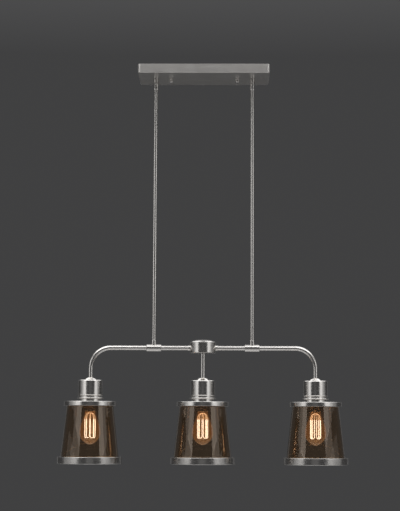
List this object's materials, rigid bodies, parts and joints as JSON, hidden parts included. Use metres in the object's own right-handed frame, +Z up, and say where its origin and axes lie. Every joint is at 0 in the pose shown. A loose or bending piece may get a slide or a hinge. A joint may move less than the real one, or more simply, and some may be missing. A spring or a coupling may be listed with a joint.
{
  "type": "linear chandelier",
  "caption": "Linear chandelier: a flat box canopy and swivelling rods carry a bar with a domed hub, bent arms and tapered smoked glass shades in metal rings.",
  "frame": {"origin": "centre of the canopy's rim in the ceiling plane", "axes": "+X along the bar, +Y to the back as seen in the picture, +Z up into the ceiling"},
  "size_m": [0.813, 0.181, 1.1253],
  "materials": {
    "nickel": "brushed nickel, satin",
    "zinc_steel": "zinc plated",
    "brass": "plain brass",
    "ceramic": "glazed ceramic",
    "smoked_glass": "smoked, smooth",
    "clear_glass": "clear, smooth",
    "base_metal": "nickel plated brass",
    "filament": "lit, warm white",
    "black_wire": "soft insulation",
    "orange_plastic": "moulded, ribbed",
    "green_paint": "green coated screw",
    "sealant": "clear silicone"
  },
  "bodies": {
    "canopy": {"canopy": "nickel", "crossbar": "zinc_steel", "mounting_studs": "zinc_steel", "stud_lock_nuts": "zinc_steel", "ground_screw": "green_paint", "swivel_studs": "nickel", "swivel_nuts": "brass", "swivel_washers": "zinc_steel", "supply_leads": "black_wire", "wire_connectors": "orange_plastic"},
    "fixture": {"swivel_sleeves": "nickel", "rod_left": "nickel", "rod_right": "nickel", "rod_feet": "nickel", "tee_left": "nickel", "tee_right": "nickel", "bar_left": "nickel", "bar_right": "nickel", "arm_left": "nickel", "arm_right": "nickel", "stem_centre": "nickel", "hub_body": "nickel", "hub_cover": "nickel", "hub_collars": "nickel", "tube_nuts": "brass", "fixture_wires": "black_wire", "cup_caps": "nickel", "cup_left": "nickel", "cup_centre": "nickel", "cup_right": "nickel", "fitter_rings": "nickel", "socket_sleeves": "nickel", "lampholder_left": "ceramic", "lampholder_centre": "ceramic", "lampholder_right": "ceramic", "screw_shells": "brass", "centre_contacts": "brass", "shade_nuts": "nickel", "shade_cap_left": "nickel", "shade_cap_centre": "nickel", "shade_cap_right": "nickel", "shade_glass_left": "smoked_glass", "shade_glass_centre": "smoked_glass", "shade_glass_right": "smoked_glass", "foot_ring_left": "nickel", "foot_ring_centre": "nickel", "foot_ring_right": "nickel", "glass_seals": "sealant"},
    "cap_nut_left": {"cap_nut_left": "nickel"},
    "cap_nut_right": {"cap_nut_right": "nickel"},
    "bulb_left": {"bulb_base_left": "base_metal", "bulb_glass_left": "clear_glass", "bulb_filament_left": "filament"},
    "bulb_centre": {"bulb_base_centre": "base_metal", "bulb_glass_centre": "clear_glass", "bulb_filament_centre": "filament"},
    "bulb_right": {"bulb_base_right": "base_metal", "bulb_glass_right": "clear_glass", "bulb_filament_right": "filament"}
  },
  "joints": [
    {"name": "fixture_swing", "type": "hinge", "parent": "canopy", "child": "fixture", "pos_m": [0, 0, -0.04055], "axis": [1, 0, 0], "range_deg": [-20, 20]},
    {"name": "cap_nut_left_turn", "type": "hinge", "parent": "canopy", "child": "cap_nut_left", "pos_m": [-0.095, 0, -0.03], "axis": [0, 0, 1], "continuous": true},
    {"name": "cap_nut_right_turn", "type": "hinge", "parent": "canopy", "child": "cap_nut_right", "pos_m": [0.095, 0, -0.03], "axis": [0, 0, 1], "continuous": true},
    {"name": "bulb_left_out", "type": "slide", "parent": "fixture", "child": "bulb_left", "axis": [0, 0, -1], "range_m": [0, 0.03]},
    {"name": "bulb_centre_out", "type": "slide", "parent": "fixture", "child": "bulb_centre", "axis": [0, 0, -1], "range_m": [0, 0.03]},
    {"name": "bulb_right_out", "type": "slide", "parent": "fixture", "child": "bulb_right", "axis": [0, 0, -1], "range_m": [0, 0.03]}
  ]
}
